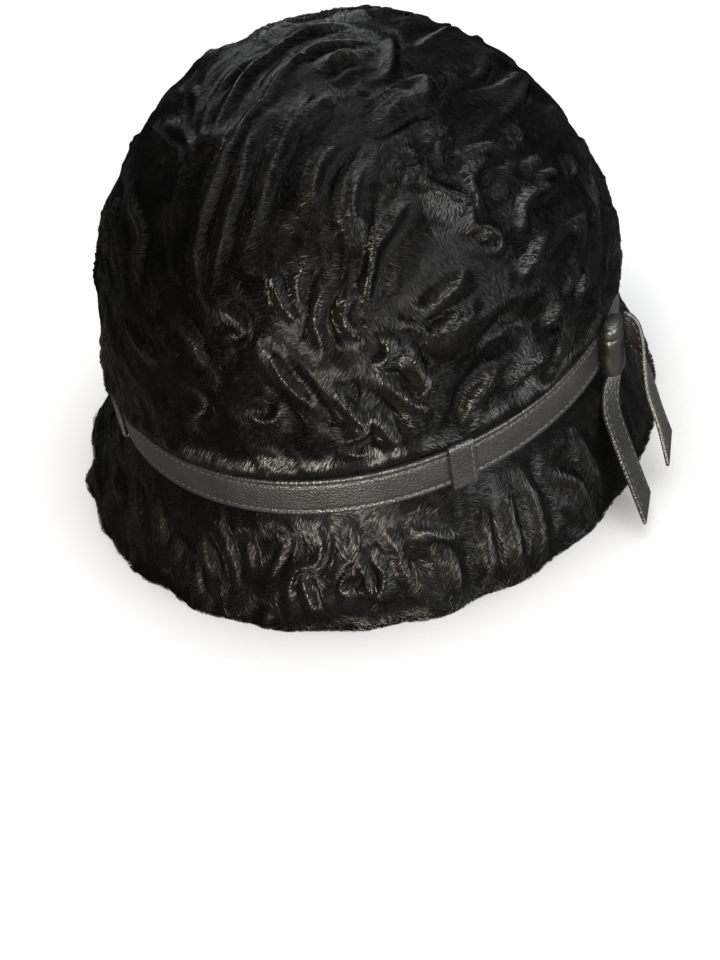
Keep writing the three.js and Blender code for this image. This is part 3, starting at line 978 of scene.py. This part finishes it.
def hair_points(pelt, count):
    """Locks of hair that lie over the curls, four points each: root, two at the middle, and tip."""
    area = np.linalg.norm(np.cross(pelt.across, pelt.along), axis=2)
    rows, columns = area.shape
    total = np.cumsum(area[:-1].ravel())
    picked = np.searchsorted(total, rng.uniform(0, total[-1], count))
    row = picked // columns + rng.uniform(0, 1, count)
    column = picked % columns + rng.uniform(0, 1, count)
    normal = unit(sample(pelt.base_normals, row, column))
    way = unit(sample(pelt.hair_way, row, column))
    root = sample(pelt.points, row, column)
    turn = HAIR_JITTER * rng.normal(size=count)
    turn = turn + HAIR_TWIST * noise(root, *TWIST_NOISE) + HAIR_DRIFT * noise(root, *DRIFT_NOISE)
    way = way * np.cos(turn)[:, None] + np.cross(normal, way) * np.sin(turn)[:, None]
    steps = (sample(pelt.across, row, column), sample(pelt.along, row, column))
    row_rate, column_rate = grid_rates(way, *steps)
    length = HAIR_LONG * rng.uniform(*HAIR_LENGTHS, count)
    length = length * (1 - CREST_SHORTENS * sample(pelt.crest, row, column)[:, 0])
    length = length * (1 + FALL_LENGTHENS * sample(pelt.fall, row, column)[:, 0])

    def along_lock(share):
        far_row = np.clip(row + row_rate * length * share, 0, rows - LAST_ROW)
        return far_row, column + column_rate * length * share

    spine = [root + normal * ROOT_LIFT]
    for share, lift in LOCK_LIFTS:
        at = along_lock(share)
        up = unit(sample(pelt.normals, *at))
        height = HAIR_LIFT * lift * rng.uniform(*HAIR_LIFTS, count)[:, None] * sample(pelt.lift, *at)
        spine.append(sample(pelt.points, *at) + up * height)
    root, middle, tip = spine
    roll = HAIR_ROLL * rng.normal(size=count)[:, None]
    ahead = unit(middle - root)
    flat = unit(np.cross(ahead, normal))
    edge = (flat * np.cos(roll) + np.cross(ahead, flat) * np.sin(roll)) * HAIR_WIDE / 2
    edge = edge * rng.uniform(*HAIR_WIDTHS, count)[:, None]
    points = np.stack((root, middle + edge, middle - edge, tip), 1)
    points[..., 2] = np.maximum(points[..., 2], HAIR_TIPS_OVER_FLOOR)
    sound = np.linalg.norm(tip - root, axis=1) < 2 * HAIR_LONG
    return points[sound], sample(pelt.crest, *along_lock(PAINTED_LIGHT_AT))[sound, 0]


def make_hair(name, points, crest_share):
    """One piece of hair; its map gives each lock a cell of its own."""
    count = len(points)
    first = (np.arange(count) * 4)[:, None, None]
    triangles = first + np.array(LOCK_FACES)[None]
    # Each lock gets a copy of the hair by its crest share: painted shade between the curls, painted
    # highlight on their crests
    painted_light_copy = np.digitize(crest_share + rng.uniform(-PAINTED_LIGHT_SPREAD, PAINTED_LIGHT_SPREAD, count), PAINTED_LIGHT_STEPS)
    made = make_object(name, points.reshape(-1, 3), triangles.reshape(-1, 3), HAIRS, np.repeat(painted_light_copy, 2))
    # The crest share, kept on the points, paints the hair paler, a painted highlight
    crest_highlight = made.data.attributes.new(CREST_HIGHLIGHT_ATTRIBUTE, "FLOAT", "POINT")
    crest_highlight.data.foreach_set("value", np.repeat(crest_share, 4).astype(np.float32))
    cells = math.ceil(math.sqrt(count))
    cell = np.stack((np.arange(count) % cells, np.arange(count) // cells), 1)
    places = (cell[:, None] + np.array(LOCK_CELL)[None]) / cells
    layer = made.data.uv_layers.new(name=LOCK_MAP)
    corners = np.empty(len(made.data.loops), np.int32)
    made.data.loops.foreach_get("vertex_index", corners)
    layer.uv.foreach_set("vector", places.reshape(-1, 2)[corners].astype(np.float32).ravel())
    return made


CROWN_HAIRS = 225000
CROWN_HAIR_PIECES = 3
BRIM_HAIRS = 84000


def build_pelt():
    crown, crown_angle = crown_pelt()
    wall = crown_wall(crown, crown_angle)
    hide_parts("crown")
    locks, crest_share = hair_points(crown, CROWN_HAIRS)
    for index in range(CROWN_HAIR_PIECES):
        part = slice(index, None, CROWN_HAIR_PIECES)
        make_hair(f"crown_hair_{index + 1}", locks[part], crest_share[part])
    brim, brim_angle = brim_pelt()
    wall = brim_wall(brim, brim_angle)
    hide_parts("brim")
    make_hair("brim_hair", *hair_points(brim, BRIM_HAIRS))


# Leather straps: a rounded, stitched section swept between two edges

STITCH_IN = 2.2
STITCH_PITCH = 2.8
STITCH_LONG = 1.9
STITCH_THICK = 0.42
STITCH_DEPTH = 0.46
FULL_WIDTH = 14.4

# Half of a strap's outer face, from an edge to its middle: distance in, and share of its thickness
STRAP_EDGE = (
    (0.0, 0.0), (0.05, 0.5), (0.2, 0.84), (0.5, 0.98), (1.0, 1.0), (1.6, 0.98),
    (2.0, 0.9), (2.4, 0.9), (2.85, 0.98), (3.6, 1.0),
)
# Rows of it that round the edges of the inner face, which is plain
STRAP_RIM = slice(1, 5)


def strap_section(width, thickness):
    """Points round a strap's section: across from the front edge, and out from its middle plane."""
    squeeze = min(1.0, width / FULL_WIDTH)
    half = [(inside * squeeze, share * thickness / 2) for inside, share in STRAP_EDGE]
    face = half + [(width - inside, out) for inside, out in reversed(half)]
    rim = half[STRAP_RIM]
    back = [(width - inside, -out) for inside, out in rim]
    return np.array(face + back + [(inside, -out) for inside, out in reversed(rim)])


def strap_mesh(name, front, back, thickness):
    """A strap between its front and back edges, each an array of points."""
    across = back - front
    ahead = unit(np.gradient(front, axis=0) + np.gradient(back, axis=0))
    out = unit(np.cross(across, ahead))
    side = unit(across)
    rings = []
    for index in range(len(front)):
        section = strap_section(np.linalg.norm(across[index]), thickness)
        rings.append(front[index] + side[index] * section[:, :1] + out[index] * section[:, 1:])
    made = make_object(name, *closed_tube(np.array(rings)), (LEATHER,))
    return made, (side, out, ahead)


# Rings of a stitch: place along it, and share of its thickness
STITCH_RINGS = ((-0.5, 0.25), (-0.38, 0.8), (0.0, 1.0), (0.38, 0.8), (0.5, 0.25))
STITCH_SIDES = 6
STITCH_FLAT = 0.8
# Two faces that close an end
STITCH_END = np.array(((0, 1, 2, 3), (0, 3, 4, 5)))


def stitch_shape():
    """A short lying stitch: points along it, across it and out of the leather."""
    turn = np.linspace(0, 2 * math.pi, STITCH_SIDES, endpoint=False)
    rings = []
    for place, swell in STITCH_RINGS:
        along = np.full(STITCH_SIDES, place * STITCH_LONG)
        half = STITCH_THICK / 2 * swell
        rings.append(np.stack((along, half * np.cos(turn), STITCH_FLAT * half * np.sin(turn)), 1))
    sides = ring_faces(len(rings), STITCH_SIDES)
    last = STITCH_SIDES * (len(rings) - 1)
    return np.concatenate(rings), np.concatenate((sides, STITCH_END[:, ::-1], STITCH_END + last))


def stitch_row(places, ahead, out):
    """Points and faces of a row of stitches."""
    shape, faces = stitch_shape()
    across = np.cross(out, ahead)
    frames = np.stack((ahead, across, out), 1)
    points = places[:, None] + np.einsum("pk,nkj->npj", shape, frames)
    first = np.arange(len(places))[:, None, None] * len(shape)
    return points.reshape(-1, 3), (faces[None] + first).reshape(-1, 4)


def join_stitches(name, rows):
    points = []
    faces = []
    for row_points, row_faces in rows:
        faces.append(row_faces + sum(len(part) for part in points))
        points.append(row_points)
    made = make_object(name, np.concatenate(points), np.concatenate(faces), (THREAD,))
    return made


def edge_stitches(edge, inwards, out, ahead, thickness):
    """A row of stitches along an edge of a strap, on the face that out points from."""
    line = edge + inwards + out * thickness * STITCH_DEPTH
    places = evenly(line, STITCH_PITCH)[1:-1]
    ahead = unit(along_line(ahead, places))
    return stitch_row(along_line(line, places), ahead, unit(along_line(out, places)))


def edge_insets(front, back, side):
    """From each edge of a strap to its stitches."""
    width = np.linalg.norm(back - front, axis=1, keepdims=True)
    inset = side * STITCH_IN * np.minimum(1, width / FULL_WIDTH)
    return (front, inset), (back, -inset)


BAND_COLUMNS = 420
BAND_STITCH_OUT = -0.2
BAND_STITCH_STEPS = 1440


def build_band():
    angle = np.linspace(0, 2 * math.pi, BAND_COLUMNS, endpoint=False)
    section = strap_section(BAND_TALL, 2 * BAND_THICK)
    section[:, 1] = np.maximum(section[:, 1] - BAND_THICK, -BAND_THICK)
    rings = np.array([head_point(angle, out, BAND_LOW + up) for up, out in section])
    points = rings.reshape(-1, 3)
    faces = ring_faces(len(section) + 1, BAND_COLUMNS) % len(points)
    band = make_object("band_strap", points, faces, (LEATHER,))
    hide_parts("band")
    rows = []
    for up in (STITCH_IN, BAND_TALL - STITCH_IN):
        turn = np.linspace(0, 2 * math.pi, BAND_STITCH_STEPS)
        line = head_point(turn, BAND_STITCH_OUT, BAND_LOW + up)
        places = evenly(line, STITCH_PITCH)
        ahead = unit(along_line(np.gradient(line, axis=0), places))
        out = unit(along_line(head_point(turn, 1.0, 0) - head_point(turn, 0.0, 0), places))
        rows.append(stitch_row(along_line(line, places), ahead, out))
    join_stitches("band_stitches", rows)


KEEPER_WIDE = 9.2
KEEPER_THICK = 1.4
KEEPER_STEPS = 60
# Each keeper's angle from the front
KEEPERS = (("keeper_right", 37.5), ("keeper_left", -53.5))
# The loop's middle line over the band: out from the band's face, and over its lower edge
KEEPER_LINE = (
    (-1.2, BAND_TALL + 0.95), (-0.2, BAND_TALL + 1.15), (0.75, BAND_TALL + 0.6), (1.0, BAND_TALL - 1.2),
    (1.0, BAND_TALL / 2), (1.0, 1.2), (0.85, -0.7), (-0.1, -1.25), (-1.1, -1.05),
)


def build_keepers():
    line = spline(KEEPER_LINE, KEEPER_STEPS)
    rows = []
    for node, degrees in KEEPERS:
        middle = math.radians(degrees)
        radius = np.linalg.norm(head_point(middle, 0, 0)[:2])
        half = KEEPER_WIDE / 2 / radius
        edges = [head_point(middle + turn, line[:, 0], BAND_LOW + line[:, 1]) for turn in (half, -half)]
        made, frames = strap_mesh(f"{node}_loop", edges[0], edges[1], KEEPER_THICK)
        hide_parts(node)
        side, out, ahead = frames
        edge, inset = edge_insets(edges[0], edges[1], side)[0]
        rows.append(edge_stitches(edge, inset, out, ahead, KEEPER_THICK))
    join_stitches("keeper_stitches", rows)


# At the knot: the middle of the band's face, and the directions out from it and along it to the back
KNOT_PLACE = head_point(KNOT_ANGLE, 0, BAND_LOW + BAND_TALL / 2)
KNOT_OUT = unit(np.array((math.sin(KNOT_ANGLE) / HEAD_WIDTH, -math.cos(KNOT_ANGLE) / HEAD_DEPTH, 0)))
KNOT_ALONG = np.array((-KNOT_OUT[1], KNOT_OUT[0], 0))


def beside_knot(places):
    """Points from rows of out, along and height over the hem."""
    places = np.asarray(places, float)
    points = KNOT_PLACE * (1, 1, 0) + places[:, :1] * KNOT_OUT + places[:, 1:2] * KNOT_ALONG
    points[:, 2] = places[:, 2]
    return points


STRAP_THICK = 1.4
TAIL_STEPS = 90
# Rows of a tail: its front edge and its back edge, each out, along and up
TAILS = {
    "tail_front": (
        (2.2, -4.1, 38.6, 5.4, -0.3, 36.6), (1.8, -8.2, 35.5, 5.1, -2.2, 31.6),
        (3.5, -13.9, 31.0, 5.9, -4.8, 25.8), (7.4, -19.2, 25.6, 9.6, -8.7, 18.6),
        (13.0, -25.4, 18.0, 15.4, -15.2, 10.6), (23.4, -37.0, 5.8, 20.1, -20.5, 4.8),
    ),
    "tail_back": (
        (1.2, 6.0, 55.0, 1.0, 6.4, 45.5), (6.0, 7.4, 57.0, 2.2, 8.0, 44.6),
        (10.0, 7.0, 54.0, 3.6, 9.0, 43.6), (12.2, 5.0, 48.0, 5.4, 10.2, 41.6),
        (13.2, 2.0, 40.5, 9.0, 11.6, 37.0), (15.2, -2.4, 31.5, 13.0, 9.4, 29.4),
        (20.0, -6.8, 21.0, 17.4, 5.4, 20.0), (24.0, -11.4, 9.2, 21.2, 2.2, 13.4),
    ),
}


def build_tails():
    rows = []
    for node, table in TAILS.items():
        table = np.array(table)
        front = spline(beside_knot(table[:, :3]), TAIL_STEPS)
        back = spline(beside_knot(table[:, 3:]), TAIL_STEPS)
        made, frames = strap_mesh(f"{node}_strap", front, back, STRAP_THICK)
        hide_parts(node)
        side, out, ahead = frames
        for edge, inset in edge_insets(front, back, side):
            for face in (out, -out):
                rows.append(edge_stitches(edge, inset, face, ahead, STRAP_THICK))
    join_stitches("tail_stitches", rows)


KNOT_WIDE = 11.6
KNOT_SHIFT = -0.9
KNOT_DEEP = 6.8
KNOT_ROUND = 2.1
KNOT_SIDES = 64
KNOT_STEPS = 70
# Rings of the knot from bottom to top: height over its middle, and share of its full size
KNOT_RINGS = (
    (-7.6, 0.5), (-8.6, 0.72), (-9.0, 0.82), (-8.6, 0.92), (-7.4, 0.97), (-4.0, 1.0), (2.0, 0.98),
    (4.8, 0.97), (5.6, 0.93), (6.1, 0.9), (6.7, 0.94), (7.6, 0.97), (9.4, 0.93), (10.5, 0.78), (10.9, 0.5),
)
KNOT_GAP = 0.3
KNOT_FACE = 1.08
FOLD_DEPTH = 0.2
FOLDS = 3
FOLD_TWIST = 0.22
FOLD_RISE = 0.5


def rounded(share):
    return np.sign(share) * np.abs(share) ** (2 / KNOT_ROUND)


def build_knot():
    line = spline(KNOT_RINGS, KNOT_STEPS)
    turn = np.linspace(0, 2 * math.pi, KNOT_SIDES, endpoint=False)
    across = rounded(np.cos(turn))
    outwards = rounded(np.sin(turn))
    rings = []
    for height, swell in line:
        fold = np.sin(FOLDS * turn + FOLD_TWIST * height) * np.sin(FOLD_RISE * height + turn)
        size = swell * (1 + FOLD_DEPTH / KNOT_WIDE * 2 * fold)
        out = KNOT_GAP + KNOT_DEEP / 2 * (1 + np.minimum(size * outwards, KNOT_FACE))
        out = np.maximum(out, KNOT_GAP)
        along = KNOT_SHIFT - KNOT_WIDE / 2 * size * across
        up = np.full(KNOT_SIDES, KNOT_PLACE[2] + height)
        rings.append(beside_knot(np.stack((out, along, up), 1)))
    knot = make_object("knot_wrap", *closed_tube(np.array(rings)), (STRETCHED_LEATHER,))
    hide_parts("knot")


# Camera, light and floor

def build_camera():
    lens = bpy.data.cameras.new("camera")
    lens.lens = CAMERA_LENS
    lens.sensor_width = SENSOR
    lens.clip_start = NEAR_CLIP
    camera = bpy.data.objects.new("camera", lens)
    axes = Matrix(np.stack((RIGHT, UP, -AHEAD), 1).tolist())
    place = (CAMERA_PLACE + (MIDDLE[0], MIDDLE[1], 0)) * MM
    camera.matrix_world = Matrix.Translation(Vector(place)) @ axes.to_4x4()
    bpy.context.scene.collection.objects.link(camera)
    bpy.context.scene.camera = camera


# Floor and background: what the camera sees of them, and the light that comes from all round
FLOOR_SIZE = 8
FLOOR_COLOUR = (0.11, 0.11, 0.11, 1)
FLOOR_GLOW = 0.88
FLOOR_SHADE = 1.0
FLOOR_SHADE_REACH = 0.05
WORLD_LIGHT = 0.13
WHITE = (1, 1, 1, 1)
WARM = (1.0, 0.9, 0.74)
COOL = (0.97, 0.985, 1.0)
AIM = Vector((0, 0, 0.08))
# Lights: name, place and size in metres, power in watts, and colour
LIGHTS = (
    ("front_window", (0.14, -1.1, 0.24), 0.3, 42, WARM),
    ("right_window", (1.05, -0.42, 0.45), 0.9, 35, COOL),
    ("overhead", (0.25, 0.3, 1.3), 1.0, 22, COOL),
    ("back_window", (-0.6, 1.1, 0.75), 0.8, 10, COOL),
)


def build_lights():
    for name, place, size, power, colour in LIGHTS:
        light = bpy.data.lights.new(name, "AREA")
        light.shape = "DISK"
        light.size = size
        light.energy = power
        light.color = colour
        made = bpy.data.objects.new(name, light)
        made.location = place
        made.rotation_euler = (AIM - Vector(place)).to_track_quat("-Z", "Y").to_euler()
        bpy.context.scene.collection.objects.link(made)


def build_floor():
    """A floor that glows to the camera, with a painted shadow: the glow is less where the hat is near."""
    material, tree, shader = new_material("pale_floor", roughness=0.9, specular=0.1)
    shader["Base Color"].default_value = FLOOR_COLOUR
    shader["Emission Color"].default_value = WHITE
    rays = add_node(tree, "ShaderNodeLightPath")
    # Painted shadow: ambient occlusion from the hat lowers the glow
    shade = add_node(tree, "ShaderNodeAmbientOcclusion", Distance=FLOOR_SHADE_REACH)
    glow = add_node(tree, "ShaderNodeMath", operation="MULTIPLY")
    tree.links.new(rays.outputs["Is Camera Ray"], glow.inputs[0])
    shaded = add_range(tree, shade.outputs["AO"], FLOOR_GLOW - FLOOR_SHADE, FLOOR_GLOW)
    tree.links.new(shaded, glow.inputs[1])
    tree.links.new(glow.outputs["Value"], shader["Emission Strength"])
    bpy.ops.mesh.primitive_plane_add(size=FLOOR_SIZE, location=(0, 0, 0))
    floor = bpy.context.object
    floor.name = "floor"
    floor.data.materials.append(material)


def build_world():
    world = bpy.data.worlds.new("studio")
    world.use_nodes = True
    tree = world.node_tree
    background = tree.nodes["Background"].inputs
    background["Color"].default_value = WHITE
    rays = add_node(tree, "ShaderNodeLightPath")
    strength = add_range(tree, rays.outputs["Is Camera Ray"], WORLD_LIGHT, FLOOR_GLOW)
    tree.links.new(strength, background["Strength"])
    bpy.context.scene.world = world
    view = bpy.context.scene.view_settings
    view.view_transform = "Standard"
    view.look = "None"


build_camera()
build_floor()
build_world()
build_lights()
build_pelt()
build_band()
build_keepers()
build_knot()
build_tails()
